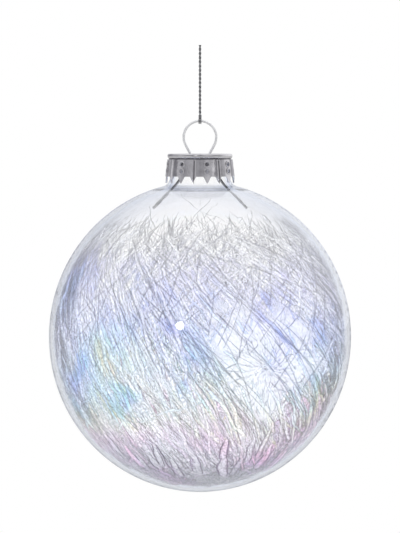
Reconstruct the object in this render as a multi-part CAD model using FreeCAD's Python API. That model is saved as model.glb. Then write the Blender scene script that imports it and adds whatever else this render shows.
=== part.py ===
"""A hanging glass ball ornament: a thin blown glass ball with a short neck, a stamped crown cap on the neck,
a spring wire hanger whose ring stands above the cap and whose legs spread inside the ball, a two-ply cord
hitched to the ring, and a filling of thin iridescent film.

Frame: millimetres, +Z up. The origin is the hanging point at the top of the cord, and everything hangs below it
on the Z axis. The hanger ring lies in the XZ plane and is seen round from -Y.
"""

import FreeCAD, Part
import math
import os

# Driving dimensions, in millimetres.
BALL_RADIUS = 40.0
BALL_STRETCH = 1.027          # blown balls come out slightly taller than wide
GLASS_WALL = 0.9
NECK_RADIUS = 7.95
NECK_WALL = 0.6
LIP_GAP = 0.05                # the neck's lip stops this far below the cap's plate
SHOULDER_FILLET = 2.5         # outside radius where the neck runs into the ball
CORD_LENGTH = 19.9            # hanging point to the centre of the ring wire
CORD_RADIUS = 0.36
RING_RADIUS = 4.3             # to the centre of the wire
RING_DROP = 4.35              # ring's centre to the top of the cap
WIRE_RADIUS = 0.33
HOLE_X = 2.4                  # the plate's two wire holes, each side of the middle
CAP_RADIUS = 8.6              # at the rounded shoulder
CAP_FLARE = 0.55              # how much wider the band's lower edge is than its top
CAP_SHEET = 0.25
ROLL_HEIGHT = 1.5             # rolled edge and groove, above the band
BAND_HEIGHT = 4.45
SHOULDER_GAP = 1.4            # band's lower edge to the level where the ball would close
PANELS = 8                    # panels round the cap, each with one medallion and one long tooth
PANEL_PHASE = 12.0            # degrees the front medallion is turned from -Y, towards +X

# The cap's stamped detail.
PLATE_RECESS = 0.15           # the plate lies this much below the rolled edge round it
ROLL_CROWN = 0.6              # the roll's highest line, in from its outside
ROLL_SHOULDER = 0.5           # the roll's widest line, down from its top
GROOVE_DEPTH = 0.4            # under the roll
GROOVE_RISE = 0.18            # the groove's deepest line, above the band's top edge
PLATE_RIM = 0.2               # the slope from the plate up to the roll, beyond its recess
SKIRT_GAP = 0.06              # the plate's skirt stands this far inside the band's top edge
RIBS = 5                      # fine ribs between a medallion and the crease beside it
RIB_HEIGHT = 0.1
CREASE_LIP = 0.08
CREASE_DEPTH = 0.2
BAND_INSET = 0.1              # the band's top edge stands this far inside the rolled edge above it
BAND_OVERLAP = 0.3            # how far the plate's skirt runs down inside the band
MEDALLION_RADIUS = 0.76       # each loop of the figure of eight, to the middle of its raised rim
MEDALLION_RIM = 0.17
LOOP_SPREAD = 0.9             # the two loops' rims nearly touch: 1 would put them edge to edge
PIERCED_RADIUS = 0.5
LONG_TOOTH = 1.75
SHORT_TOOTH = 1.05
LONG_TOOTH_HALF = 0.95
SHORT_TOOTH_HALF = 0.55
PITCH = 360.0 / PANELS
CUT_REACH = 3.0               # cutters run this far to each side of the sheet that they cut
CUT_OVERLAP = 0.03            # so that neighbouring cutters meet

# Levels on the Z axis, from the hanging point down.
RING_TOP_Z = -CORD_LENGTH
RING_CENTRE_Z = RING_TOP_Z - RING_RADIUS
CAP_TOP_Z = RING_CENTRE_Z - RING_DROP
BAND_TOP_Z = CAP_TOP_Z - ROLL_HEIGHT
BAND_BOTTOM_Z = BAND_TOP_Z - BAND_HEIGHT
PLATE_UNDERSIDE_Z = CAP_TOP_Z - PLATE_RECESS - CAP_SHEET
NECK_TOP_Z = PLATE_UNDERSIDE_Z - LIP_GAP
BALL_TOP_Z = BAND_BOTTOM_Z - SHOULDER_GAP
BALL_HALF_HEIGHT = BALL_RADIUS * BALL_STRETCH
BALL_CENTRE_Z = BALL_TOP_Z - BALL_HALF_HEIGHT

# The wire leaves the ring's circle along two straight tangents that slant inwards to the plate's two holes, and its
# legs bend outwards just below the plate.
PLATE_MIDDLE_Z = PLATE_UNDERSIDE_Z + CAP_SHEET / 2
HOLE_DROP = RING_CENTRE_Z - PLATE_MIDDLE_Z
SLANT = math.asin(RING_RADIUS / math.hypot(HOLE_X, HOLE_DROP)) - math.atan2(HOLE_X, HOLE_DROP)
SLANT_START_X = RING_RADIUS * math.cos(SLANT)
SLANT_START_Z = RING_CENTRE_Z - RING_RADIUS * math.sin(SLANT)
HOLE_RADIUS = 0.62
PIVOT_DROP = 1.15             # top of the cap to the bend where a leg flexes
LEG_PIVOT_Z = CAP_TOP_Z - PIVOT_DROP
LEG_KNEE = (6.0, BALL_CENTRE_Z + 40.6)
LEG_TIP = (12.4, BALL_CENTRE_Z + 34.0)
LEG_BEND = 1.2                # length of wire taken up by the knee, on each side of it
MOVING_GAP = 0.02

# The cord's hitch: loops round the ring wire, free to turn on it.
HITCH_STRAND = 0.2
HITCH_CLEARANCE = 0.12
HITCH_SPACING = 0.44
HITCH_LOOP_RADIUS = WIRE_RADIUS + HITCH_CLEARANCE + HITCH_STRAND
KNOT_HEIGHT = 0.85
KNOT_RADIUS = 0.46
HITCH_TOP_Z = RING_TOP_Z + HITCH_LOOP_RADIUS + KNOT_HEIGHT

# The filling.
TINSEL_INSET = 1.3            # from the inside of the glass
TINSEL_SHELL = 0.3
TINSEL_TOP = 30.0             # above the ball's centre
FILM_SCALE = 0.84
FILM_SHELL = 0.15
FILM_LOW = -20.0
FILM_HIGH = 22.0
FILM_START = -95.0            # degrees about +Z, from +X
FILM_SWEEP = 120.0

Z_AXIS = FreeCAD.Vector(0, 0, 1)
ORIGIN = FreeCAD.Vector(0, 0, 0)


def point(x, z):
    """A point of the XZ plane, where every profile is drawn."""
    return FreeCAD.Vector(x, 0, z)


def line(start, end):
    return Part.LineSegment(start, end).toShape()


def arc(start, middle, end):
    return Part.Arc(start, middle, end).toShape()


def face_of(edges):
    return Part.Face(Part.Wire(Part.__sortEdges__(edges)))


def spin(face, degrees=360.0):
    return face.revolve(ORIGIN, Z_AXIS, degrees)


def save(shape, name):
    """Writes one node, after checking that each of its solids is sound."""
    clean = Part.Compound(shape.Solids) if len(shape.Solids) > 1 else shape.Solids[0]
    if not clean.isValid():
        raise RuntimeError(name + " is not a valid solid")
    clean.exportStep("parts/" + name + ".step")
    print(name, len(shape.Solids), "solid", round(shape.Volume, 3), "mm3")


# ---------------------------------------------------------------- glass ball

def ellipse_arc(radius, half_height, start, end):
    """Part of the ball's outline. Angles run from the top pole, in radians."""
    centre = point(0, BALL_CENTRE_Z)
    top = point(0, BALL_CENTRE_Z + half_height)
    side = point(radius, BALL_CENTRE_Z)
    return Part.ArcOfEllipse(Part.Ellipse(top, side, centre), start, end).toShape()


def ellipse_point(radius, half_height, angle):
    return point(radius * math.sin(angle), BALL_CENTRE_Z + half_height * math.cos(angle))


def outward_normal(radius, half_height, angle):
    normal = point(math.sin(angle) / radius, math.cos(angle) / half_height)
    return normal.normalize()


def shoulder(radius, half_height, neck, fillet):
    """The angle on the ellipse where the fillet to the neck starts, and the fillet's centre."""
    low = 0.0
    high = math.pi / 2
    for _ in range(60):
        angle = (low + high) / 2
        centre = ellipse_point(radius, half_height, angle) + outward_normal(radius, half_height, angle) * fillet
        if centre.x < neck + fillet:
            low = angle
        else:
            high = angle
    return angle, centre


def shoulder_edges(radius, half_height, neck, fillet):
    """The ellipse from the bottom pole up to the fillet, the fillet, and the point where the neck starts."""
    angle, centre = shoulder(radius, half_height, neck, fillet)
    on_ball = ellipse_point(radius, half_height, angle)
    on_neck = point(neck, centre.z)
    towards = ((on_ball - centre).normalize() + (on_neck - centre).normalize()).normalize()
    edges = [
        ellipse_arc(radius, half_height, angle, math.pi),
        arc(on_ball, centre + towards * fillet, on_neck),
    ]
    return edges, on_neck


def glass_ball():
    """One wall, revolved: the ball, the fillet, the neck and its fire-polished lip."""
    inner_radius = BALL_RADIUS - GLASS_WALL
    inner_height = BALL_HALF_HEIGHT - GLASS_WALL
    inner_neck = NECK_RADIUS - NECK_WALL
    outer, outer_neck_start = shoulder_edges(BALL_RADIUS, BALL_HALF_HEIGHT, NECK_RADIUS, SHOULDER_FILLET)
    inner, inner_neck_start = shoulder_edges(
        inner_radius, inner_height, inner_neck, SHOULDER_FILLET + GLASS_WALL
    )
    lip_z = NECK_TOP_Z - NECK_WALL / 2
    outer_lip = point(NECK_RADIUS, lip_z)
    inner_lip = point(inner_neck, lip_z)
    lip_top = point(NECK_RADIUS - NECK_WALL / 2, NECK_TOP_Z)
    rest = [
        line(outer_neck_start, outer_lip),
        arc(outer_lip, lip_top, inner_lip),
        line(inner_lip, inner_neck_start),
        line(point(0, BALL_CENTRE_Z - BALL_HALF_HEIGHT), point(0, BALL_CENTRE_Z - inner_height)),
    ]
    return spin(face_of(outer + inner + rest))


# ---------------------------------------------------------------- cap

def panel_outline():
    """One panel's outline as (degrees from its medallion, offset from the plain cone), left to right."""
    half = PITCH / 2
    first_rib = 0.38 * half
    last_rib = 0.86 * half
    step = (last_rib - first_rib) / (2 * RIBS)
    right = [(first_rib / 2, 0.0)]
    right += [(first_rib + i * step, RIB_HEIGHT if i % 2 else 0.0) for i in range(2 * RIBS + 1)]
    right += [(0.93 * half, CREASE_LIP)]
    left = [(-angle, offset) for angle, offset in reversed(right)]
    return left + [(0.0, 0.0)] + right + [(half, -CREASE_DEPTH)]


def band_wire(radius, z):
    """The fluted outline of the whole band at one level."""
    corners = []
    for panel in range(PANELS):
        for angle, offset in panel_outline():
            turn = math.radians(panel * PITCH + angle)
            reach = radius + offset
            corners.append(FreeCAD.Vector(reach * math.cos(turn), reach * math.sin(turn), z))
    return Part.makePolygon(corners + corners[:1])


def turned(shape, degrees):
    shape.rotate(ORIGIN, Z_AXIS, degrees)
    return shape


def facing_out(shape, x, z):
    """Turns a shape that was built about +Z so that it points along +X, and moves it to its place."""
    shape.rotate(ORIGIN, FreeCAD.Vector(0, 1, 0), 90)
    shape.translate(point(x, z))
    return shape


def notch(left_half, left_tip_z, right_half, right_tip_z):
    """The gap between two teeth, cut along +X: level at the top, sloping down each tooth to its tip."""
    half_gap = CAP_RADIUS * math.sin(math.radians(PITCH / 4)) + CUT_OVERLAP
    below = BAND_BOTTOM_Z - 2 * LONG_TOOTH
    inside = CAP_RADIUS - CUT_REACH
    corners = [
        (-half_gap, left_tip_z),
        (-half_gap + left_half, BAND_BOTTOM_Z),
        (half_gap - right_half, BAND_BOTTOM_Z),
        (half_gap, right_tip_z),
        (half_gap, below),
        (-half_gap, below),
    ]
    loop = [FreeCAD.Vector(inside, y, z) for y, z in corners]
    return Part.Face(Part.makePolygon(loop + loop[:1])).extrude(FreeCAD.Vector(2 * CUT_REACH, 0, 0))


def tooth_gaps():
    """Cutters that leave a long tooth under each medallion and a short one under each crease."""
    long_z = BAND_BOTTOM_Z - LONG_TOOTH
    short_z = BAND_BOTTOM_Z - SHORT_TOOTH
    cutters = []
    for panel in range(PANELS):
        right = notch(LONG_TOOTH_HALF, long_z, SHORT_TOOTH_HALF, short_z)
        left = notch(SHORT_TOOTH_HALF, short_z, LONG_TOOTH_HALF, long_z)
        cutters.append(turned(right, panel * PITCH + PITCH / 4))
        cutters.append(turned(left, panel * PITCH - PITCH / 4))
    return cutters


def medallions():
    """Raised rims and the pierced holes inside them: a figure of eight on each panel."""
    rims = []
    holes = []
    middle_z = (BAND_TOP_Z + BAND_BOTTOM_Z) / 2
    rise = MEDALLION_RADIUS + LOOP_SPREAD * MEDALLION_RIM
    for panel in range(PANELS):
        for z in (middle_z + rise, middle_z - rise):
            down = (BAND_TOP_Z - z) / BAND_HEIGHT
            surface = CAP_RADIUS - BAND_INSET + CAP_FLARE * down
            rim = facing_out(Part.makeTorus(MEDALLION_RADIUS, MEDALLION_RIM), surface, z)
            hole = facing_out(Part.makeCylinder(PIERCED_RADIUS, 2 * CUT_REACH), surface - CUT_REACH, z)
            rims.append(turned(rim, panel * PITCH))
            holes.append(turned(hole, panel * PITCH))
    return rims, holes


def cap_head():
    """The plate, the rolled edge round it and the groove below the edge, revolved from one sheet."""
    plate_z = CAP_TOP_Z - PLATE_RECESS
    skirt_z = BAND_TOP_Z - BAND_OVERLAP
    band_top = CAP_RADIUS - BAND_INSET
    skirt_outer = band_top - SKIRT_GAP
    skirt_inner = band_top - CREASE_DEPTH - CAP_SHEET
    plate_edge = point(CAP_RADIUS - ROLL_CROWN - PLATE_RECESS - PLATE_RIM, plate_z)
    crown = point(CAP_RADIUS - ROLL_CROWN, CAP_TOP_Z)
    widest = point(CAP_RADIUS, CAP_TOP_Z - ROLL_SHOULDER)
    groove = point(CAP_RADIUS - GROOVE_DEPTH, BAND_TOP_Z + GROOVE_RISE)
    skirt_top = point(skirt_outer, BAND_TOP_Z)
    inner_corner = point(skirt_inner, PLATE_UNDERSIDE_Z)
    edges = [
        line(point(0, plate_z), plate_edge),
        line(plate_edge, crown),
        arc(crown, point(CAP_RADIUS - ROLL_CROWN / 4, CAP_TOP_Z - ROLL_SHOULDER / 4), widest),
        arc(widest, point(CAP_RADIUS - GROOVE_DEPTH / 4, CAP_TOP_Z - 2 * ROLL_SHOULDER), groove),
        line(groove, skirt_top),
        line(skirt_top, point(skirt_outer, skirt_z)),
        line(point(skirt_outer, skirt_z), point(skirt_inner, skirt_z)),
        line(point(skirt_inner, skirt_z), inner_corner),
        line(inner_corner, point(0, PLATE_UNDERSIDE_Z)),
        line(point(0, PLATE_UNDERSIDE_Z), point(0, plate_z)),
    ]
    return spin(face_of(edges))


def fluted_cone(radius, low_radius, low_z):
    return Part.makeLoft([band_wire(radius, BAND_TOP_Z), band_wire(low_radius, low_z)], True, True)


def metal_cap():
    """The stamped crown: a fluted, creased band with pierced medallions and teeth, under a plate."""
    tip_z = BAND_BOTTOM_Z - LONG_TOOTH
    top_radius = CAP_RADIUS - BAND_INSET
    low_radius = top_radius + CAP_FLARE * (BAND_TOP_Z - tip_z) / BAND_HEIGHT
    outside = fluted_cone(top_radius, low_radius, tip_z)
    inside = fluted_cone(top_radius - CAP_SHEET, low_radius - CAP_SHEET, tip_z)
    rims, piercings = medallions()
    band = outside.fuse(rims).cut([inside] + piercings + tooth_gaps())
    band = turned(band, PANEL_PHASE - 90.0)
    starts = [point(x, CAP_TOP_Z - CUT_REACH) for x in (-HOLE_X, HOLE_X)]
    holes = [Part.makeCylinder(HOLE_RADIUS, 2 * CUT_REACH, start) for start in starts]
    return band.fuse(cap_head()).cut(holes)


# ---------------------------------------------------------------- spring wire hanger

def slant_x(z):
    """Where the slant on the +X side stands at a level."""
    return SLANT_START_X - (SLANT_START_Z - z) * math.tan(SLANT)


def mirrored(place):
    return point(-place.x, place.z)


def swept(edges, start, direction):
    """Round wire along a path that starts at start and runs along direction."""
    circle = Part.Circle(start, direction, WIRE_RADIUS).toShape()
    path = Part.Wire(edges)
    return path.makePipeShell([Part.Wire(circle)], True, False)


def hanger_ring():
    """The ring, its two slants and the stubs that pass the plate, as one wire."""
    slant_start = point(SLANT_START_X, SLANT_START_Z)
    down_slant = point(-math.sin(SLANT), -math.cos(SLANT))
    pivot = point(slant_x(LEG_PIVOT_Z), LEG_PIVOT_Z)
    stub_end = pivot - down_slant * (WIRE_RADIUS + MOVING_GAP)
    edges = [
        line(stub_end, slant_start),
        arc(slant_start, point(0, RING_TOP_Z), mirrored(slant_start)),
        line(mirrored(slant_start), mirrored(stub_end)),
    ]
    return swept(edges, stub_end, down_slant)


def spring_leg(sign):
    """One leg: a round head at its bend, then outwards through the neck and further out inside the ball."""
    pivot = point(sign * slant_x(LEG_PIVOT_Z), LEG_PIVOT_Z)
    knee = point(sign * LEG_KNEE[0], LEG_KNEE[1])
    tip = point(sign * LEG_TIP[0], LEG_TIP[1])
    downwards = (knee - pivot).normalize()
    outwards = (tip - knee).normalize()
    before = knee - downwards * LEG_BEND
    after = knee + outwards * LEG_BEND
    bend = Part.BSplineCurve()
    bend.interpolate(
        Points=[before, after],
        InitialTangent=downwards * 2 * LEG_BEND,
        FinalTangent=outwards * 2 * LEG_BEND,
    )
    edges = [line(pivot, before), bend.toShape(), line(after, tip)]
    return swept(edges, pivot, knee - pivot).fuse(Part.makeSphere(WIRE_RADIUS, pivot))


# ---------------------------------------------------------------- cord

def cord_hitch():
    """Two loops round the ring wire and the knot that gathers them."""
    x_axis = FreeCAD.Vector(1, 0, 0)
    loops = [
        Part.makeTorus(HITCH_LOOP_RADIUS, HITCH_STRAND, point(side * HITCH_SPACING / 2, RING_TOP_Z), x_axis)
        for side in (-1, 1)
    ]
    knot_low = RING_TOP_Z + HITCH_LOOP_RADIUS
    knot = Part.makeCone(KNOT_RADIUS, CORD_RADIUS, KNOT_HEIGHT, point(0, knot_low))
    return loops[0].fuse([loops[1], knot])


def hanging_cord():
    """A plain round solid that holds the space of the twisted cord."""
    length = -HITCH_TOP_Z - MOVING_GAP
    return Part.makeCylinder(CORD_RADIUS, length, point(0, -length))


# ---------------------------------------------------------------- filling

def film_section(radius, half_height, thickness, high, low):
    """A thin strip that follows the ball's outline between two heights above its centre."""
    inner_radius = radius - thickness
    inner_height = half_height - thickness
    high_outer = math.acos(high / half_height)
    high_inner = math.acos(high / inner_height)
    low_outer = math.acos(max(-1.0, low / half_height))
    low_inner = math.acos(max(-1.0, low / inner_height))
    edges = [
        ellipse_arc(radius, half_height, high_outer, low_outer),
        ellipse_arc(inner_radius, inner_height, high_inner, low_inner),
        line(
            ellipse_point(radius, half_height, high_outer),
            ellipse_point(inner_radius, inner_height, high_inner),
        ),
        line(
            ellipse_point(radius, half_height, low_outer),
            ellipse_point(inner_radius, inner_height, low_inner),
        ),
    ]
    return face_of(edges)


def tinsel_swirl():
    """The shredded film that lines the glass: a thin open bowl of about its real volume."""
    radius = BALL_RADIUS - GLASS_WALL - TINSEL_INSET
    half_height = BALL_HALF_HEIGHT - GLASS_WALL - TINSEL_INSET
    return spin(film_section(radius, half_height, TINSEL_SHELL, TINSEL_TOP, -BALL_HALF_HEIGHT))


def crumpled_film():
    """The uncut film gathered inside the shreds, as a thin curved sheet."""
    radius = BALL_RADIUS * FILM_SCALE
    half_height = BALL_HALF_HEIGHT * FILM_SCALE
    sheet = spin(film_section(radius, half_height, FILM_SHELL, FILM_HIGH, FILM_LOW), FILM_SWEEP)
    return turned(sheet, FILM_START)


def main():
    os.makedirs("parts", exist_ok=True)
    save(glass_ball(), "glass_ball")
    save(metal_cap(), "metal_cap")
    save(hanger_ring(), "hanger_ring")
    save(spring_leg(-1), "spring_leg_left")
    save(spring_leg(1), "spring_leg_right")
    save(cord_hitch(), "cord_hitch")
    save(hanging_cord(), "hanging_cord")
    save(tinsel_swirl(), "tinsel_swirl")
    save(crumpled_film(), "crumpled_film")


main()
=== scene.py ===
"""The looks of the glass ball ornament: clear blown glass, a bright stamped cap, a spring wire hanger, a two-ply
metallic cord, and iridescent film tinsel lining the ball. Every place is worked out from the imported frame."""

import math

import bpy
import numpy as np
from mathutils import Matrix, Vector


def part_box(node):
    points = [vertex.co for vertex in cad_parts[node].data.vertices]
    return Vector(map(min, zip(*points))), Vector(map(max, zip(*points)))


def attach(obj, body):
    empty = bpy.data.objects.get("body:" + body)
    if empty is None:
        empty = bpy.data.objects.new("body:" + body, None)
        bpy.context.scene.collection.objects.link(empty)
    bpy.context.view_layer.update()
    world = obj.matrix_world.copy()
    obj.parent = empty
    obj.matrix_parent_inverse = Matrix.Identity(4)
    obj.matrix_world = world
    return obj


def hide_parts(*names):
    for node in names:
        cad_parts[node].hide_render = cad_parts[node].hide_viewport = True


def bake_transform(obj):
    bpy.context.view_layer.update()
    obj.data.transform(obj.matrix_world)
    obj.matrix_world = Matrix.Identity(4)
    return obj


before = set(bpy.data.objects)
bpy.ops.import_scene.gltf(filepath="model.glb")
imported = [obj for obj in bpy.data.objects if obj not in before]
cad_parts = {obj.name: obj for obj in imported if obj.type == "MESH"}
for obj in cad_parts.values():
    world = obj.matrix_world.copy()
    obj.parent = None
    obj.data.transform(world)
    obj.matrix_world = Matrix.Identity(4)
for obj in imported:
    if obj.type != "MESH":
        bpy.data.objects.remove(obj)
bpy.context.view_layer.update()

MM = 0.001
WHITE = (1.0, 1.0, 1.0, 1.0)
RANDOM = np.random.default_rng(7)

# Places from the frame.
GLASS_LOW, GLASS_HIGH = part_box("glass_ball")
BALL_RADIUS = (GLASS_HIGH.x - GLASS_LOW.x) / 2
BALL_HALF_HEIGHT = BALL_RADIUS * 1.027
BALL_CENTRE = Vector((0, 0, GLASS_LOW.z + BALL_HALF_HEIGHT))
GLASS_WALL = 0.9 * MM
INNER_RADIUS = BALL_RADIUS - GLASS_WALL
INNER_HALF_HEIGHT = BALL_HALF_HEIGHT - GLASS_WALL
NECK_BASE_Z = BALL_CENTRE.z + BALL_HALF_HEIGHT
RING_LOW, RING_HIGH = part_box("hanger_ring")
WIRE_RADIUS = (RING_HIGH.y - RING_LOW.y) / 2
RING_TOP = Vector((0, 0, RING_HIGH.z - WIRE_RADIUS))
HITCH_LOW, HITCH_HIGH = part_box("cord_hitch")
CORD_LOW, CORD_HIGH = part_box("hanging_cord")


# ---------------------------------------------------------------- shader helpers

class Shader:
    """Builds one node tree. Each call adds a node, sets or links its inputs and returns one of its outputs."""

    def __init__(self, tree):
        self.tree = tree
        tree.nodes.clear()

    def add(self, kind, inputs=None, output=0, **settings):
        node = self.tree.nodes.new("ShaderNode" + kind)
        for name, value in settings.items():
            setattr(node, name, value)
        for key, value in (inputs or {}).items():
            if isinstance(value, bpy.types.NodeSocket):
                self.tree.links.new(value, node.inputs[key])
            else:
                node.inputs[key].default_value = value
        return node.outputs[output]

    def math(self, operation, a, b=0.0, clamp=False):
        return self.add("Math", {0: a, 1: b}, operation=operation, use_clamp=clamp)

    def multiply_add(self, a, b, c):
        return self.add("Math", {0: a, 1: b, 2: c}, operation="MULTIPLY_ADD")

    def mix_colour(self, factor, a, b, blend="MIX"):
        return self.add("Mix", {0: factor, 6: a, 7: b}, output=2, data_type="RGBA", blend_type=blend)

    def mix_shader(self, factor, a, b):
        return self.add("MixShader", {0: factor, 1: a, 2: b})

    def ramp(self, factor, stops, interpolation="LINEAR"):
        """A colour ramp. stops are (place, colour) pairs."""
        output = self.add("ValToRGB", {0: factor})
        ramp = output.node.color_ramp
        ramp.interpolation = interpolation
        while len(ramp.elements) < len(stops):
            ramp.elements.new(0.5)
        for element, (place, colour) in zip(ramp.elements, stops):
            element.position = place
            element.color = (*colour, 1.0)
        return output

    def noise(self, scale, detail=2.0, where=None, output=0, **inputs):
        """Noise over the piece's own coordinates, which move with it. scale is in cycles per metre."""
        place = where or self.add("TexCoord", output=3)
        values = {"Vector": place, "Scale": scale, "Detail": detail}
        values.update(inputs)
        return self.add("TexNoise", values, output=output)

    def bump(self, height, strength, distance):
        return self.add("Bump", {"Height": height, "Strength": strength, "Distance": distance})

    def facing(self):
        """0 where the surface faces the eye, 1 where it is seen edge on."""
        return self.add("LayerWeight", {"Blend": 0.5}, output=1)

    def finish(self, surface, kind="OutputMaterial"):
        self.tree.links.new(surface, self.tree.nodes.new("ShaderNode" + kind).inputs["Surface"])


def material(name):
    made = bpy.data.materials.new(name)
    made.use_nodes = True
    return made, Shader(made.node_tree)


# ---------------------------------------------------------------- materials

def glass_material():
    """Clear glass with a blue-grey tint that deepens where it's seen edge on. Light reaches the filling straight
    through it, without the bending that the eye sees. The neck is blown so thin that it doesn't bend the view."""
    made, s = material("clear_glass_look")
    tint = s.ramp(s.facing(), [
        (0.10, (1.0, 1.0, 1.0)),
        (0.46, (0.985, 0.988, 0.995)),
        (0.70, (0.925, 0.94, 0.975)),
        (1.00, (0.82, 0.855, 0.93)),
    ])
    glass = s.add("BsdfGlass", {
        "Color": tint,
        "Roughness": 0.0,
        "IOR": 1.46,
        "Normal": s.bump(s.noise(60.0, 1.0), 0.03, 0.3 * MM),
    })
    mirror = s.add("BsdfGlossy", {"Color": WHITE, "Roughness": 0.0})
    see_through = s.add("BsdfTransparent", {"Color": tint})
    glancing = s.multiply_add(s.math("POWER", s.facing(), 5.0), 0.5, 0.03)
    height = s.add("SeparateXYZ", {0: s.add("TexCoord", output=3)}, output=2)
    neck = smooth_step(s, height, NECK_BASE_Z - 2.6 * MM, NECK_BASE_Z - 1.8 * MM)
    wall = s.mix_shader(neck, glass, s.mix_shader(glancing, see_through, mirror))
    clear = s.add("BsdfTransparent", {"Color": (0.99, 0.992, 0.997, 1.0)})
    path = s.add("LightPath").node
    straight = s.math("MAXIMUM", path.outputs["Is Shadow Ray"], path.outputs["Is Diffuse Ray"])
    s.finish(s.mix_shader(straight, wall, clear))
    return made


HEIGHT_COLOURS = [
    (0.00, (0.50, 0.50, 0.58)),
    (0.07, (0.60, 0.56, 0.70)),
    (0.13, (0.76, 0.58, 0.86)),
    (0.21, (0.96, 0.58, 0.80)),
    (0.28, (0.90, 0.74, 0.92)),
    (0.315, (1.00, 0.80, 0.50)),
    (0.35, (0.88, 0.92, 0.55)),
    (0.385, (0.55, 0.88, 0.85)),
    (0.45, (0.58, 0.83, 1.00)),
    (0.53, (0.48, 0.60, 1.00)),
    (0.62, (0.66, 0.68, 1.00)),
    (0.72, (0.84, 0.82, 1.00)),
    (0.80, (0.93, 0.93, 0.96)),
    (1.00, (0.95, 0.95, 0.95)),
]


def smooth_step(s, value, low, high):
    return s.add("MapRange", {0: value, 1: low, 2: high, 3: 0.0, 4: 1.0}, interpolation_type="SMOOTHSTEP")


def attribute(s, name):
    return s.add("Attribute", {}, output=2, attribute_name=name)


def film_hue(s, strand):
    """The film's colour, and the height it's at as a share of the ball's. The colour changes with height, as the
    angle of view on the ball does, with the strand's own tilt, and in drifting patches."""
    place = s.add("TexCoord", output=3)
    height = s.add("SeparateXYZ", {0: place}, output=2)
    share = s.math("DIVIDE", s.math("SUBTRACT", height, GLASS_LOW.z), 2 * BALL_HALF_HEIGHT)
    patches = s.math("MULTIPLY", s.math("SUBTRACT", s.noise(36.0, 2.5), 0.5), 0.72)
    own = s.math("MULTIPLY", s.math("SUBTRACT", strand, 0.5), 0.14)
    tilt = s.math("MULTIPLY", s.math("SUBTRACT", s.facing(), 0.3), 0.10)
    shift = s.math("ADD", s.math("ADD", patches, own), tilt)
    return s.ramp(s.math("ADD", share, shift, True), HEIGHT_COLOURS), share


def limb(s):
    """0 where the eye looks straight into the ball, 1 where it looks along the glass at the ball's outline."""
    from_centre = s.add("VectorMath", {0: s.add("TexCoord", output=3), 1: tuple(BALL_CENTRE)}, operation="SUBTRACT")
    outwards = s.add("VectorMath", {0: from_centre}, operation="NORMALIZE")
    to_eye = s.add("NewGeometry", output=4)
    to_eye = s.add("VectorTransform", {0: to_eye}, vector_type="VECTOR", convert_from="WORLD", convert_to="OBJECT")
    straight = s.add("VectorMath", {0: outwards, 1: to_eye}, output=1, operation="DOT_PRODUCT")
    return smooth_step(s, s.math("ABSOLUTE", straight), 0.60, 0.22)


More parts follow.
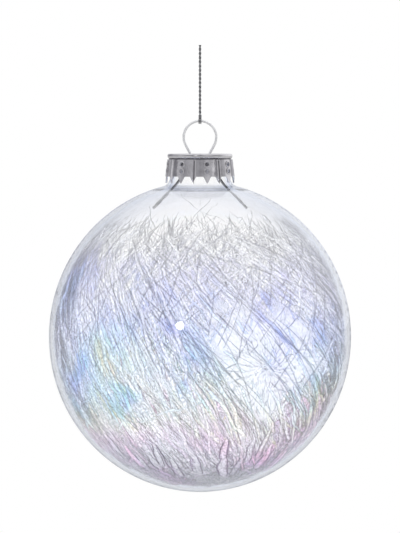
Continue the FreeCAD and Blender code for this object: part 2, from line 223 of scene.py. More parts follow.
def film_material(name, core, outline, outline_grey, outline_from,
                  brightness=1.0, colourful=1.0, thin_above=0.0, creased=False):
    """Iridescent film: a bright, half clear core between thin grey outlines. Parts turned edge on get painted grey
    shade.
    core and outline are opacities; outline_from is where the outline starts, as a share of the half width. Light
    reaches the film as if the film round it wasn't there."""
    made, s = material(name)
    strand = attribute(s, "strand")
    hue, share = film_hue(s, strand)
    own_richness = s.math("POWER", s.math("FRACT", s.math("MULTIPLY", strand, 7.3)), 2.0)
    patches = smooth_step(s, s.noise(60.0, 2.0), 0.42, 0.66)
    mixed = s.math("ADD", s.math("MULTIPLY", patches, 0.5), s.math("MULTIPLY", own_richness, 0.5))
    vivid = smooth_step(s, s.noise(75.0, 1.0), 0.60, 0.70)
    mixed = s.multiply_add(vivid, 0.8, mixed)
    along_glass = limb(s)
    richness = s.math("MULTIPLY", s.multiply_add(along_glass, 0.35, mixed), colourful)
    own_shade = smooth_step(s, s.math("FRACT", s.math("MULTIPLY", strand, 29.3)), 0.35, 0.75)
    # Painted shade: parts of a strand seen edge on are greyed, more on some strands than on others.
    turned = s.math("MULTIPLY", smooth_step(s, s.facing(), 0.62, 0.9), s.multiply_add(own_shade, 0.85, 0.15))
    if creased:
        dark = s.math("MAXIMUM", s.math("MULTIPLY", turned, 0.5), crease_shade_lines(s))
    else:
        dark = s.math("MAXIMUM", turned, smooth_step(s, attribute(s, "edge"), outline_from, outline_from + 0.2))
    own_brightness = s.math("FRACT", s.math("MULTIPLY", strand, 13.7))
    # Painted shade: the film is darker towards the bottom of the ball.
    bottom_shade = s.multiply_add(smooth_step(s, share, 0.02, 0.24), 0.55, 0.45)
    fleck = smooth_step(s, s.noise(1900.0, 1.0), 0.42, 0.58)
    flecked = 0.3 if creased else 1.0
    own_level = s.multiply_add(own_brightness, 0.22, brightness - 0.12 - 0.14 * flecked)
    own_level = s.multiply_add(fleck, 0.28 * flecked, own_level)
    # Painted shade: film seen along the glass near the ball's outline, in a belt of heights, is darkened, more on
    # some strands than on others.
    belt = s.math("SUBTRACT", smooth_step(s, share, 0.08, 0.28), smooth_step(s, share, 0.7, 0.88))
    rim_shade = s.math("MULTIPLY", s.math("MULTIPLY", along_glass, belt), s.multiply_add(own_shade, 0.66, 0.2))
    level = s.math("MULTIPLY", s.math("MULTIPLY", own_level, bottom_shade), s.math("SUBTRACT", 1.0, rim_shade))
    base = s.mix_colour(smooth_step(s, share, 0.66, 0.84), (0.95, 0.965, 1.0, 1.0), (1.0, 1.0, 0.98, 1.0))
    pale = s.mix_colour(s.multiply_add(richness, 0.74, 0.08 * colourful), base, hue)
    if creased:
        place = s.add("Attribute", {}, output=1, attribute_name="sheet")
        # Painted light and shade: each facet of the creased sheet is a little lighter or darker, as if turned to or
        # from the light.
        facet_light_and_shade = s.add("TexVoronoi", {"Vector": place, "Scale": 1.0}, output=1, voronoi_dimensions="2D")
        level = s.math("MULTIPLY", level, s.multiply_add(facet_light_and_shade, 0.1, 0.94))
    light = s.mix_colour(1.0, pale, s.add("CombineColor", {0: level, 1: level, 2: level}), "MULTIPLY")
    grey = s.mix_colour(0.7, outline_grey, hue, "MULTIPLY")
    colour = s.mix_colour(dark, light, grey)
    dull = s.add("BsdfDiffuse", {"Color": colour, "Roughness": 0.3})
    through = s.add("BsdfTranslucent", {"Color": colour})
    shine = s.add("BsdfGlossy", {"Color": WHITE, "Roughness": 0.25})
    body = s.mix_shader(0.035, s.mix_shader(0.4, dull, through), shine)
    amount = s.math("ADD", s.multiply_add(strand, core, 0.5 * core), s.math("MULTIPLY", along_glass, core))
    opacity = s.math("ADD", amount, s.math("MULTIPLY", s.math("SUBTRACT", outline, amount), dark), True)
    opacity = s.math("MULTIPLY", opacity, s.multiply_add(fleck, 0.4 * flecked, 1 - 0.2 * flecked), True)
    thinner = s.multiply_add(smooth_step(s, share, 0.5, 0.78), -thin_above, 1.0)
    opacity = s.math("MULTIPLY", opacity, thinner)
    if creased:
        opacity = s.math("MULTIPLY", opacity, attribute(s, "inside"))
    clear = s.add("BsdfTransparent", {"Color": s.mix_colour(s.math("MULTIPLY", richness, 0.12), WHITE, hue)})
    film = s.mix_shader(opacity, clear, body)
    path = s.add("LightPath").node
    unseen = s.math("MAXIMUM", path.outputs["Is Shadow Ray"], path.outputs["Is Diffuse Ray"])
    unshaded = s.add("BsdfTransparent", {"Color": WHITE})
    s.finish(s.mix_shader(unseen, film, unshaded))
    return made


def crease_shade_lines(s):
    """Painted shade along the creases between the flat facets of gathered film. They run out from the pinched point,
    and are crossed here and there by shorter ones."""
    place = s.add("Attribute", {}, output=1, attribute_name="sheet")
    size = s.add("SeparateXYZ", {0: place}, output=2)
    lines = 0.0
    for scale, width, strength, slack in ((1.0, 0.2 * MM, 0.65, 0.42), (2.3, 0.17 * MM, 0.4, 0.46)):
        away = s.add("TexVoronoi", {"Vector": place, "Scale": scale}, feature="DISTANCE_TO_EDGE", voronoi_dimensions="2D")
        reach = s.math("DIVIDE", away, scale)
        line = s.math("SUBTRACT", 1.0, smooth_step(s, s.math("MULTIPLY", reach, size), 0.3 * width, width))
        kept = smooth_step(s, s.noise(0.9 * scale, 1.0, place), slack, slack + 0.12)
        lines = s.math("MAXIMUM", lines, s.math("MULTIPLY", s.math("MULTIPLY", line, kept), strength))
    return lines


def bright_metal_material():
    """Bright tinplate: a clear mirror, slightly rippled by the stamping, with painted shade darkening its grooves and
    hollows.
    """
    made, s = material("bright_metal_look")
    ripple = s.noise(900.0, 2.0)
    grain = s.noise(4200.0, 3.0)
    height = s.math("ADD", ripple, s.math("MULTIPLY", grain, 0.25))
    colour = s.ramp(s.noise(350.0, 2.0), [(0.3, (0.56, 0.55, 0.57)), (0.7, (0.76, 0.75, 0.77))])
    # Painted shade: ambient occlusion darkens the base colour in the grooves, pierced holes and hollows.
    open_air = s.add("AmbientOcclusion", {"Distance": 0.7 * MM}, output=1)
    shaded = s.ramp(open_air, [(0.25, (0.16, 0.15, 0.17)), (0.85, (1.0, 1.0, 1.0))])
    rough = s.multiply_add(grain, 0.14, 0.10)
    metal = s.add("BsdfPrincipled", {
        "Base Color": s.mix_colour(1.0, colour, shaded, "MULTIPLY"),
        "Metallic": 1.0,
        "Roughness": rough,
        "Normal": s.bump(height, 0.5, 0.06 * MM),
    })
    s.finish(metal)
    return made


def wire_material(name, dark, bright, metallic):
    """Drawn steel wire: fine scratches along it and a soft shine. dark and bright are its greys."""
    made, s = material(name)
    scratches = s.noise(2600.0, 4.0)
    metal = s.add("BsdfPrincipled", {
        "Base Color": s.ramp(scratches, [(0.3, (dark,) * 3), (0.7, (bright,) * 3)]),
        "Metallic": metallic,
        "Roughness": 0.32,
        "Normal": s.bump(scratches, 0.4, 0.03 * MM),
    })
    s.finish(metal)
    return made


def cord_material():
    """Metallic thread: dark grey fibres with silver glints."""
    made, s = material("metallic_cord_look")
    fibre = s.noise(5200.0, 2.0)
    colour = s.ramp(fibre, [(0.35, (0.045, 0.045, 0.05)), (0.55, (0.13, 0.13, 0.135)), (0.72, (0.42, 0.42, 0.43))])
    thread = s.add("BsdfPrincipled", {
        "Base Color": colour,
        "Metallic": s.ramp(fibre, [(0.5, (0.0,) * 3), (0.7, (0.7,) * 3)]),
        "Roughness": 0.42,
        "Sheen Weight": 0.2,
        "Normal": s.bump(fibre, 0.7, 0.05 * MM),
    })
    s.finish(thread)
    return made


# ---------------------------------------------------------------- mesh helpers

def mesh_object(name, points, faces, attributes, look, body):
    """A smooth-shaded piece from arrays, riding on one CAD body."""
    mesh = bpy.data.meshes.new(name)
    mesh.from_pydata([tuple(p) for p in points], [], [tuple(f) for f in faces])
    mesh.polygons.foreach_set("use_smooth", np.ones(len(mesh.polygons), bool))
    for key, values in attributes.items():
        values = np.asarray(values, np.float32)
        if values.ndim == 1:
            mesh.attributes.new(key, "FLOAT", "POINT").data.foreach_set("value", values)
        else:
            mesh.attributes.new(key, "FLOAT_VECTOR", "POINT").data.foreach_set("vector", values.reshape(-1))
    mesh.materials.append(look)
    mesh.update()
    made = bpy.data.objects.new(name, mesh)
    bpy.context.scene.collection.objects.link(made)
    if body:
        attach(made, body)
    return made


def unit(vectors):
    return vectors / np.maximum(np.linalg.norm(vectors, axis=-1, keepdims=True), 1e-12)


def ribbons(paths, normals, widths, crown, thickness):
    """Closed film ribbons. paths and normals are (ribbons, steps, 3) and widths (ribbons, steps).

    The section is a shallow roof of four points, so that a ribbon's edges turn away from its middle."""
    along = unit(np.gradient(paths, axis=1))
    normals = unit(normals - along * (normals * along).sum(-1, keepdims=True))
    across = np.cross(along, normals) * (widths / 2)[..., None]
    rise = normals * (widths * crown)[..., None]
    skin = normals * thickness
    corners = np.stack([paths - across, paths + rise + skin, paths + across, paths + rise - skin], axis=2)
    count, steps = paths.shape[:2]
    index = np.arange(count * steps * 4).reshape(count, steps, 4)
    turned = np.roll(index, -1, axis=2)
    sides = np.stack([index[:, :-1], turned[:, :-1], turned[:, 1:], index[:, 1:]], axis=-1).reshape(-1, 4)
    ends = np.concatenate([index[:, 0, ::-1], index[:, -1]])
    attributes = {
        "strand": np.repeat(RANDOM.random(count), steps * 4),
        "edge": np.tile((1.0, 0.0, 1.0, 0.0), count * steps),
    }
    return corners.reshape(-1, 3), np.concatenate([sides, ends]), attributes


# ---------------------------------------------------------------- tinsel

def shell_point(longitude, latitude, depth):
    """Points inside the ball. Longitude 0 is the front (-Y) and grows towards +X; depth is the share of the inside
    wall's radius."""
    level = np.cos(latitude)
    x = depth * INNER_RADIUS * level * np.sin(longitude)
    y = -depth * INNER_RADIUS * level * np.cos(longitude)
    z = depth * INNER_HALF_HEIGHT * np.sin(latitude)
    return np.stack([x, y, z], axis=-1) + np.array(BALL_CENTRE)


def outward(points):
    return unit(points - np.array(BALL_CENTRE))


def wander(count, steps, size, waves):
    """Smooth random curves, one row each, from a few sines."""
    place = np.linspace(0, 1, steps)[None, :]
    total = np.zeros((count, steps))
    for wave in range(1, waves + 1):
        rate = RANDOM.uniform(0.6, 1.4, (count, 1)) * wave
        phase = RANDOM.uniform(0, 2 * math.pi, (count, 1))
        total += np.sin(2 * math.pi * rate * place + phase) * RANDOM.normal(0, size / wave, (count, 1))
    return total


def swirl_heading(longitude, latitude):
    """The way the shreds run, in degrees from straight down towards +X at the front: steeper on the left."""
    return 32 + 15 * np.sin(longitude) + 15 * np.sin(latitude)


FILM_FOCUS = (math.radians(27), math.radians(-8))


def film_shelter(longitude, latitude):
    """1 behind the gathered film, where the shreds are pressed inwards, and 0 far from it."""
    across = (longitude - FILM_FOCUS[0] + 0.03) / 0.44
    up = (latitude - FILM_FOCUS[1] - 0.04) / 0.42
    return np.exp(-(across ** 2 + up ** 2) ** 2)


def strands(longitude, latitude, length, depth, heading, stray, wave, steps, share_behind=0.75, crinkle=9):
    """Paths that run down and round the shell, each with its own small errors. heading gives degrees, as
    swirl_heading does; stray, wave and crinkle, the errors of a whole strand, of its long bends and of each step, are
    in degrees too. share_behind is the share of the shreds that the gathered film presses inwards."""
    count = len(longitude)
    error = RANDOM.normal(0, stray, (count, 1)) + wander(count, steps, wave, 2)
    error = error + RANDOM.normal(0, crinkle, (count, steps))
    lon = np.empty((count, steps))
    lat = np.empty((count, steps))
    lon[:, 0] = longitude
    lat[:, 0] = latitude
    stride = length / (steps - 1) / INNER_RADIUS
    for step in range(1, steps):
        turn = np.radians(heading(lon[:, step - 1], lat[:, step - 1]) + error[:, step])
        lat[:, step] = lat[:, step - 1] - np.cos(turn) * stride
        ring = np.maximum(np.cos(lat[:, step - 1]), 0.3)
        lon[:, step] = lon[:, step - 1] + np.sin(turn) * stride / ring
    lat = np.maximum(lat, math.radians(-82))
    sheltered = (RANDOM.random((count, 1)) < share_behind) * 0.07 * film_shelter(lon, lat)
    depth = depth[:, None] + wander(count, steps, 0.006, 2) - sheltered
    return shell_point(lon, lat, np.clip(depth, 0.6, 0.985))


def rolled(paths, spread, swing, wavelength):
    """The film's face direction along each path: outwards, but rolled about the path to and fro."""
    count, steps = paths.shape[:2]
    along = unit(np.gradient(paths, axis=1))
    out = outward(paths)
    side = unit(np.cross(along, out))
    run = np.linalg.norm(np.diff(paths, axis=1), axis=2).sum(1)[:, None] * np.linspace(0, 1, steps)[None, :]
    phase = RANDOM.uniform(0, 2 * math.pi, (count, 1))
    rate = 2 * math.pi / (wavelength * RANDOM.uniform(0.6, 1.6, (count, 1)))
    roll = RANDOM.normal(0, spread, (count, 1)) + RANDOM.uniform(0.3, 1, (count, 1)) * swing * np.sin(run * rate + phase)
    roll = roll[..., None]
    return out * np.cos(roll) + side * np.sin(roll)


def tinsel_piece(name, paths, widths, look, crown=0.1, spread=0.3, swing=0.6, wavelength=11 * MM):
    count, steps = paths.shape[:2]
    taper = np.clip(np.linspace(0.3, 1 + 0.7 * steps / 5, steps), 0, 1)
    width = RANDOM.uniform(*widths, (count, 1)) * MM * (1 + wander(count, steps, 0.1, 2)) * taper
    normals = rolled(paths, spread, swing, wavelength)
    points, faces, attributes = ribbons(paths, normals, width, crown, 0.015 * MM)
    return mesh_object(name, points, faces, attributes, look, "ball")


def lining_strands(look):
    """The dense layer against the glass, in four quarters round the ball."""
    for quarter, name in enumerate(("front", "right", "back", "left")):
        count = 570
        longitude = math.radians(90 * quarter) + RANDOM.uniform(-0.25 * math.pi, 0.25 * math.pi, count)
        latitude = np.arcsin(RANDOM.uniform(-0.62, 0.76, count))
        thin_side = np.exp(-((longitude - math.radians(55)) / math.radians(50)) ** 2)
        kept = RANDOM.random(count) > 0.5 * thin_side
        longitude = longitude[kept]
        latitude = latitude[kept]
        above_loops = (latitude - math.radians(-52)) * 1.2 * INNER_RADIUS
        length = np.clip(RANDOM.uniform(16, 42, len(longitude)) * MM, 3 * MM, above_loops)
        depth = RANDOM.uniform(0.95, 0.975, len(longitude))
        paths = strands(longitude, latitude, length, depth, swirl_heading, 6, 7, 30, 0.9)
        tinsel_piece("tinsel_lining_" + name, paths, (0.55, 1.2), look)


def long_lines(look):
    """Long narrow shreds that sweep across the others, and shorter ones that cross those above the middle."""
    count = 210
    longitude = RANDOM.uniform(-math.pi, math.pi, count)
    latitude = np.arcsin(RANDOM.uniform(-0.1, 0.7, count))
    length = RANDOM.uniform(40, 75, count) * MM
    depth = RANDOM.uniform(0.96, 0.985, count)
    paths = strands(longitude, latitude, length, depth, lambda lon, lat: 44 + 8 * np.sin(lat), 7, 5, 34, 0.3, 2)
    tinsel_piece("tinsel_long_lines", paths, (0.22, 0.42), look, swing=0.4)
    count = 120
    longitude = RANDOM.uniform(-math.pi, math.pi, count)
    latitude = np.arcsin(RANDOM.uniform(0.25, 0.8, count))
    length = RANDOM.uniform(12, 32, count) * MM
    depth = RANDOM.uniform(0.975, 0.986, count)
    paths = strands(longitude, latitude, length, depth, lambda lon, lat: -30 + 0 * lat, 12, 6, 20, 0.3, 3)
    tinsel_piece("tinsel_cross_lines", paths, (0.2, 0.38), look, swing=0.4)


def crossing_strands(look):
    """Shreds that run the other way."""
    count = 300
    longitude = RANDOM.uniform(-math.pi, math.pi, count)
    latitude = np.arcsin(RANDOM.uniform(-0.45, 0.72, count))
    length = RANDOM.uniform(9, 28, count) * MM
    depth = RANDOM.uniform(0.93, 0.975, count)
    paths = strands(longitude, latitude, length, depth, lambda lon, lat: -28 + 0 * lat, 26, 14, 18)
    tinsel_piece("tinsel_crossing", paths, (0.4, 0.9), look)


def cut_ends(look):
    """The cut upper ends, which stand against the clear glass below the neck."""
    count = 620
    longitude = RANDOM.uniform(-math.pi, math.pi, count)
    latitude = np.arcsin(RANDOM.uniform(0.60, 0.84, count))
    length = RANDOM.uniform(4, 13, count) * MM
    depth = RANDOM.uniform(0.95, 0.985, count)
    paths = strands(longitude, latitude, length, depth, lambda lon, lat: 4 + 0 * lat, 17, 5, 12)
    tinsel_piece("tinsel_cut_ends", paths, (0.16, 0.3), look, swing=0.3)


def stray_shreds(look):
    """A few fine shreds that cling to the clear glass above the rest, one of them across the front."""
    count = 9
    longitude = RANDOM.uniform(-math.pi, math.pi, count)
    latitude = np.radians(RANDOM.uniform(58, 70, count))
    length = RANDOM.uniform(9, 16, count) * MM
    longitude[0] = math.radians(-25)
    latitude[0] = math.radians(73)
    length[0] = 19 * MM
    depth = np.full(count, 0.98)
    paths = strands(longitude, latitude, length, depth, lambda lon, lat: 35 + 0 * lat, 9, 6, 22, crinkle=5)
    tinsel_piece("tinsel_strays", paths, (0.24, 0.34), look, swing=0.3)


def settled_strands(look):
    """Shreds that lie across each other in the bottom."""
    count = 520
    longitude = RANDOM.uniform(-math.pi, math.pi, count)
    latitude = np.arcsin(RANDOM.uniform(-0.985, -0.76, count))
    length = RANDOM.uniform(6, 15, count) * MM
    depth = RANDOM.uniform(0.955, 0.98, count)
    paths = strands(longitude, latitude, length, depth, lambda lon, lat: 60 + 0 * lat, 60, 30, 14)
    tinsel_piece("tinsel_settled", paths, (0.7, 1.6), look)


def film_lobes(look):
    """Broad folded strips whose rounded lower ends hang in a row near the bottom."""
    count = 64
    steps = 26
    longitude = np.linspace(-math.pi, math.pi, count, endpoint=False) + RANDOM.normal(0, 0.05, count)
    low_end = np.arcsin(RANDOM.uniform(-0.86, -0.72, count))[:, None]
    length = RANDOM.uniform(5, 11, (count, 1)) * MM
    width = RANDOM.uniform(1.8, 2.8, (count, 1)) * MM
    to_low_end = length * np.linspace(1, 0, steps)[None, :]
    latitude = low_end + to_low_end / INNER_RADIUS
    lean = RANDOM.normal(-0.1, 0.1, (count, 1)) * to_low_end / INNER_RADIUS
    lon = longitude[:, None] + (lean + wander(count, steps, 0.003, 2)) / np.cos(latitude)
    depth = RANDOM.uniform(0.982, 0.987, (count, 1)) + 0 * latitude
    paths = shell_point(lon, latitude, depth)
    rounded_end = np.sqrt(1 - np.clip(1 - to_low_end / (width / 2), 0, 0.98) ** 2)
    narrow_start = np.clip(0.45 + 1.6 * (1 - to_low_end / length), 0, 1)
    normals = rolled(paths, 0.05, 0.08, 11 * MM)
    widths = width * rounded_end * narrow_start * (1 + wander(count, steps, 0.06, 2))
    points, faces, attributes = ribbons(paths, normals, widths, 0.05, 0.015 * MM)
    mesh_object("tinsel_folded_loops", points, faces, attributes, look, "ball")


def crumple(u, v, folds, coarse, fine, height):
    """The relief of film that has been squeezed: flat facets between folds. u and v are in metres."""
    relief = np.zeros_like(u)
    for _ in range(folds):
        turn = RANDOM.uniform(0, math.pi)
        wavelength = RANDOM.uniform(fine, coarse)
        place = (u * math.cos(turn) + v * math.sin(turn)) / wavelength + RANDOM.uniform(0, 1)
        place = place + 0.25 * np.sin(3 * (u * math.sin(turn) - v * math.cos(turn)) / wavelength)
        relief += (np.abs((place % 1.0) - 0.5) * 2 - 0.5) * height * wavelength / coarse
    return relief


def gathered_film(name, focus, reach, stretch_up, look):
    """A wide piece of uncut film, pleated round the point where it was pinched. focus is its longitude and
    latitude. Its "sheet" coordinates run round and out from that point in units of one pleat's width; the third is
    the size of the unit there."""
    rays, rings = 300, 96
    pleats = 9
    angle = np.linspace(0, 2 * math.pi, rays, endpoint=False)[None, :].repeat(rings, 0)
    share = np.linspace(0.02, 1, rings)[:, None].repeat(rays, 1)
    outline = 1 + 0.16 * np.sin(3 * angle + 0.6) + 0.1 * np.sin(5 * angle + 2) + 0.05 * np.sin(11 * angle)
    radius = share * reach * outline * (1 + stretch_up * (1 + np.sin(angle)) / 2)
    u = radius * np.cos(angle)
    v = radius * np.sin(angle)
    relief = crumple(u, v, 6, 15 * MM, 5 * MM, 1.3 * MM)
    pleat = np.abs(((angle * pleats / math.pi + 0.7 * np.sin(2 * angle + share * 2)) % 1.0) - 0.5) * 2
    near_focus = np.clip(1.3 - radius / (9 * MM), 0, 1) * np.clip(radius / (3 * MM), 0, 1)
    relief = relief + (pleat - 0.5) * near_focus * 1.2 * MM
    longitude = focus[0] + u / INNER_RADIUS
    latitude = focus[1] + v / INNER_RADIUS
    depth = 0.958 + relief / INNER_RADIUS - 0.02 * (1 - share)
    points = shell_point(longitude, latitude, np.clip(depth, 0.85, 0.985)).reshape(-1, 3)
    skin = outward(points) * 0.015 * MM
    outer = np.arange(rings * rays).reshape(rings, rays)
    following = np.roll(outer, -1, axis=1)
    inner = outer + rings * rays
    inner_following = following + rings * rays
    quads = np.stack([outer[:-1], following[:-1], following[1:], outer[1:]], axis=-1).reshape(-1, 4)
    backs = np.stack([inner[:-1], inner[1:], inner_following[1:], inner_following[:-1]], axis=-1).reshape(-1, 4)
    hems = []
    for ring, order in ((0, 1), (-1, -1)):
        hem = np.stack([outer[ring], inner[ring], inner_following[ring], following[ring]], axis=-1)
        hems.append(hem[:, ::order])
    unit_size = (radius + 4 * MM) / pleats * 2.2
    sheet = np.stack([angle * pleats / 2.2, np.log(radius / MM + 4) * 1.5, unit_size], axis=-1).reshape(-1, 3)
    inside = np.clip((1 - share) / 0.3, 0, 1)
    attributes = {
        "strand": np.full(2 * rings * rays, 0.93),
        "sheet": np.tile(sheet, (2, 1)),
        "inside": np.tile(inside.reshape(-1), 2),
    }
    points = np.concatenate([points + skin, points - skin])
    faces = np.concatenate([quads, backs, *hems])
    return mesh_object(name, points, faces, attributes, look, "ball")


# ---------------------------------------------------------------- cord

def swept_threads(paths, radius, sides, name, look, body=None):
    """Round threads along paths of shape (threads, steps, 3), each closed at both ends."""
    count, steps = paths.shape[:2]
    along = unit(np.gradient(paths, axis=1))
    helper = np.zeros_like(along)
    helper[..., 1] = 1.0
    first = unit(np.cross(along, helper))
    second = np.cross(along, first)
    angle = np.linspace(0, 2 * math.pi, sides, endpoint=False)
    ring = first[:, :, None] * np.cos(angle)[:, None] + second[:, :, None] * np.sin(angle)[:, None]
    points = paths[:, :, None] + ring * radius
    index = np.arange(count * steps * sides).reshape(count, steps, sides)
    turned = np.roll(index, -1, axis=2)
    quads = np.stack([index[:, :-1], turned[:, :-1], turned[:, 1:], index[:, 1:]], axis=-1).reshape(-1, 4)
    faces = [tuple(q) for q in quads]
    for thread in range(count):
        faces.append(tuple(index[thread, 0, ::-1]))
        faces.append(tuple(index[thread, -1]))
    return mesh_object(name, points.reshape(-1, 3), faces, {}, look, body)


def twisted_paths(top, bottom, plies, fibres, pitch, ply_offset, fibre_offset):
    """Fibres twisted into plies, and plies twisted round each other, from one level of the Z axis to another."""
    steps = int((top - bottom) / (0.09 * MM))
    z = np.linspace(top, bottom, steps)
    paths = []
    for ply in range(plies):
        turn = 2 * math.pi * ((top - z) / pitch + ply / plies)
        for fibre in range(fibres):
            spin = -2 * math.pi * ((top - z) / (pitch * 0.55) + fibre / fibres)
            reach = ply_offset + fibre_offset * np.cos(spin)
            side = fibre_offset * np.sin(spin)
            x = reach * np.cos(turn) - side * np.sin(turn)
            y = reach * np.sin(turn) + side * np.cos(turn)
            paths.append(np.stack([x, y, z], axis=-1))
    return np.array(paths)


def hanging_cord(look):
    """The two-ply cord. Its twist takes up the turning of the hitch below it."""
    paths = twisted_paths(CORD_HIGH.z, HITCH_HIGH.z - 0.1 * MM, 2, 5, 2.2 * MM, 0.165 * MM, 0.105 * MM)
    made = swept_threads(paths, 0.075 * MM, 6, "twisted_cord", look)
    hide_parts("hanging_cord")
    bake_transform(made)


def hitch(look):
    """The cord's lower end: it goes twice round the ring wire and is bound by three turns above it."""
    paths = []
    loop_radius = WIRE_RADIUS + 0.32 * MM
    steps = 64
    turn = np.linspace(0, 2 * math.pi, steps)
    for side in (-0.22 * MM, 0.22 * MM):
        for fibre in range(5):
            spin = 2 * math.pi * fibre / 5 + turn * 4
            reach = loop_radius + 0.1 * MM * np.cos(spin)
            x = side + 0.1 * MM * np.sin(spin)
            paths.append(np.stack([x, reach * np.sin(turn), RING_TOP.z + reach * np.cos(turn)], axis=-1))
    loops = swept_threads(np.array(paths), 0.075 * MM, 6, "cord_loops", look, "hitch")
    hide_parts("cord_hitch")
    low = RING_TOP.z + loop_radius - 0.05 * MM
    high = HITCH_HIGH.z
    wraps = []
    turn = np.linspace(0, 2 * math.pi * 3, 120)
    for fibre in range(3):
        rise = low + (high - low) * turn / turn[-1] + (fibre - 1) * 0.07 * MM
        reach = 0.30 * MM + 0.04 * MM * np.cos(turn * 5 + fibre)
        wraps.append(np.stack([reach * np.cos(turn), reach * np.sin(turn), rise], axis=-1))
    swept_threads(np.array(wraps), 0.085 * MM, 6, "cord_binding", look, "hitch")


# ---------------------------------------------------------------- stage

def studio_world():
    """A white sweep round the ball. The eye sees it white; metal and glass reflect its darker side, behind the
    camera, and its shaded left end."""
    world = bpy.data.worlds.new("studio")
    bpy.context.scene.world = world
    world.use_nodes = True
    world.cycles.sampling_method = "NONE"
    s = Shader(world.node_tree)
    direction = s.add("SeparateXYZ", {0: s.add("TexCoord", output=0)}).node
    towards_camera = s.math("MULTIPLY", direction.outputs[1], -1.0)
    bearing = s.math("ARCTAN2", direction.outputs[0], towards_camera)
    turn = s.multiply_add(bearing, 1 / (2 * math.pi), 0.5)
    walls = s.ramp(turn, [
        (0.00, (0.95, 0.95, 0.97)),
        (0.10, (0.30, 0.30, 0.33)),
        (0.30, (0.56, 0.56, 0.58)),
        (0.40, (0.22, 0.22, 0.24)),
        (0.437, (0.24, 0.24, 0.26)),
        (0.452, (1.40, 1.40, 1.42)),
        (0.460, (1.40, 1.40, 1.42)),
        (0.475, (0.26, 0.26, 0.28)),
        (0.50, (0.26, 0.26, 0.28)),
        (0.58, (0.66, 0.66, 0.68)),
        (0.66, (0.26, 0.26, 0.28)),
        (0.76, (0.68, 0.68, 0.70)),
        (0.84, (0.98, 0.98, 1.0)),
        (1.00, (0.98, 0.98, 1.0)),
    ])
    ceiling = smooth_step(s, direction.outputs[2], 0.25, 0.9)
    room = s.mix_colour(ceiling, walls, (0.9, 0.9, 0.92, 1.0))
    path = s.add("LightPath").node
    seen = s.math("MAXIMUM", path.outputs["Is Camera Ray"], path.outputs["Is Transmission Ray"])
    in_glass = s.math("MULTIPLY", s.math("MINIMUM", path.outputs["Transmission Depth"], 1.0), 0.7)
    colour = s.mix_colour(s.math("MAXIMUM", seen, in_glass), room, WHITE)
    colour = s.mix_colour(path.outputs["Is Diffuse Ray"], colour, (1.72, 1.74, 1.80, 1.0))
    s.finish(s.add("Background", {"Color": colour, "Strength": 1.0}), "OutputWorld")


def floor():
    """A white floor well below the hanging ball."""
    made, s = material("white_floor")
    path = s.add("LightPath").node
    seen = s.math("MAXIMUM", path.outputs["Is Camera Ray"], path.outputs["Is Transmission Ray"])
    strength = s.multiply_add(seen, 0.35, 0.65)
    s.finish(s.add("Emission", {"Color": (1.0, 1.0, 1.0, 1.0), "Strength": strength}))
    half = 6.0
    level = GLASS_LOW.z - 0.3
    mesh = bpy.data.meshes.new("floor")
    corners = [(-half, -half, level), (half, -half, level), (half, half, level), (-half, half, level)]
    mesh.from_pydata(corners, [], [(0, 1, 2, 3)])
    mesh.materials.append(made)
    plane = bpy.data.objects.new("floor", mesh)
    bpy.context.scene.collection.objects.link(plane)


def softbox(name, place, size, power):
    lamp = bpy.data.lights.new(name, "AREA")
    lamp.shape = "DISK"
    lamp.size = size
    lamp.energy = power
    made = bpy.data.objects.new(name, lamp)
    bpy.context.scene.collection.objects.link(made)
    made.location = BALL_CENTRE + Vector(place)
    made.rotation_euler = (-Vector(place)).to_track_quat("-Z", "Y").to_euler()
    made.visible_camera = False
    lit = bpy.data.collections.new(name + "_lights")
    lit.objects.link(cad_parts["glass_ball"])
    made.light_linking.receiver_collection = lit


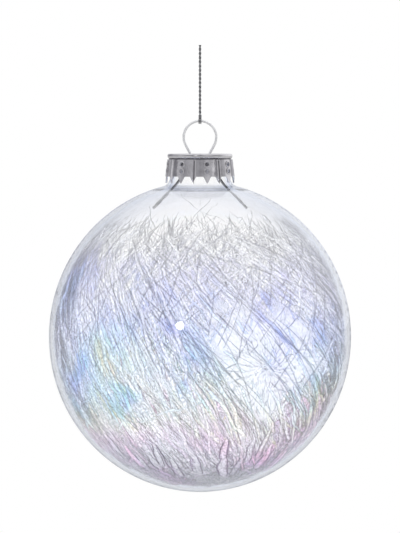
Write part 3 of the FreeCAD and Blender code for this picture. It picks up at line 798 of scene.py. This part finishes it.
def camera():
    """Level with the cap, a little above the ball's middle, framed so that the ball fills three quarters of the
    width and stands below the middle."""
    elevation = math.radians(3.5)
    picture_height = 141.56 * MM
    above_ball = 18.55 * MM
    lens = 135.0
    sensor = 36.0
    data = bpy.data.cameras.new("camera")
    data.lens = lens
    data.sensor_width = sensor
    made = bpy.data.objects.new("camera", data)
    bpy.context.scene.collection.objects.link(made)
    towards = Vector((0, -math.cos(elevation), math.sin(elevation)))
    up = Vector((0, math.sin(elevation), math.cos(elevation)))
    distance = picture_height / 2 * lens / (sensor / 2)
    made.location = BALL_CENTRE + up * above_ball + towards * distance
    made.rotation_mode = "QUATERNION"
    made.rotation_quaternion = (-towards).to_track_quat("-Z", "Y")
    data.clip_start = 0.01
    bpy.context.scene.camera = made


def render_paths():
    """Room for light to pass many layers of film, and plain colours."""
    scene = bpy.context.scene
    scene.cycles.max_bounces = 24
    scene.cycles.transmission_bounces = 20
    scene.cycles.transparent_max_bounces = 80
    scene.cycles.diffuse_bounces = 3
    scene.cycles.glossy_bounces = 4
    scene.view_settings.view_transform = "Standard"


# ---------------------------------------------------------------- assembly

def dress_nodes():
    # Painted shade: the legs, which stand inside the glass, get a darker copy of the ring's wire.
    shaded_leg_wire = wire_material("leg_wire_shaded_look", 0.22, 0.42, 1.0)
    looks = {
        "glass_ball": glass_material(),
        "metal_cap": bright_metal_material(),
        "hanger_ring": wire_material("ring_wire_look", 0.68, 0.86, 0.62),
        "spring_leg_left": shaded_leg_wire,
        "spring_leg_right": shaded_leg_wire,
    }
    for name, look in looks.items():
        for material_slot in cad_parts[name].material_slots:
            material_slot.material = look


def main():
    dress_nodes()
    grey = (0.17, 0.18, 0.22, 1.0)
    dark_grey = (0.20, 0.20, 0.22, 1.0)
    shreds = film_material("film_shreds_look", 0.32, 0.48, grey, 0.75, thin_above=0.48)
    lines = film_material("film_lines_look", 0.08, 0.30, dark_grey, 0.0)
    sheet = film_material("film_sheet_look", 0.32, 0.4, grey, 0.7, brightness=0.97, colourful=0.15, creased=True)
    lining_strands(shreds)
    long_lines(lines)
    crossing_strands(shreds)
    cut_ends(lines)
    stray_shreds(lines)
    settled_strands(shreds)
    film_lobes(film_material("film_loops_look", 0.42, 0.62, (0.19, 0.16, 0.23, 1.0), 0.60, brightness=1.05, colourful=1.5))
    film = gathered_film("gathered_film_front", FILM_FOCUS, 14 * MM, 0.5, sheet)
    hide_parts("crumpled_film")
    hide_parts("tinsel_swirl")
    thread = cord_material()
    hanging_cord(thread)
    hitch(thread)
    studio_world()
    floor()
    softbox("strobe", (-0.29, -1.09, 0.24), 0.12, 0.7)
    camera()
    render_paths()


main()
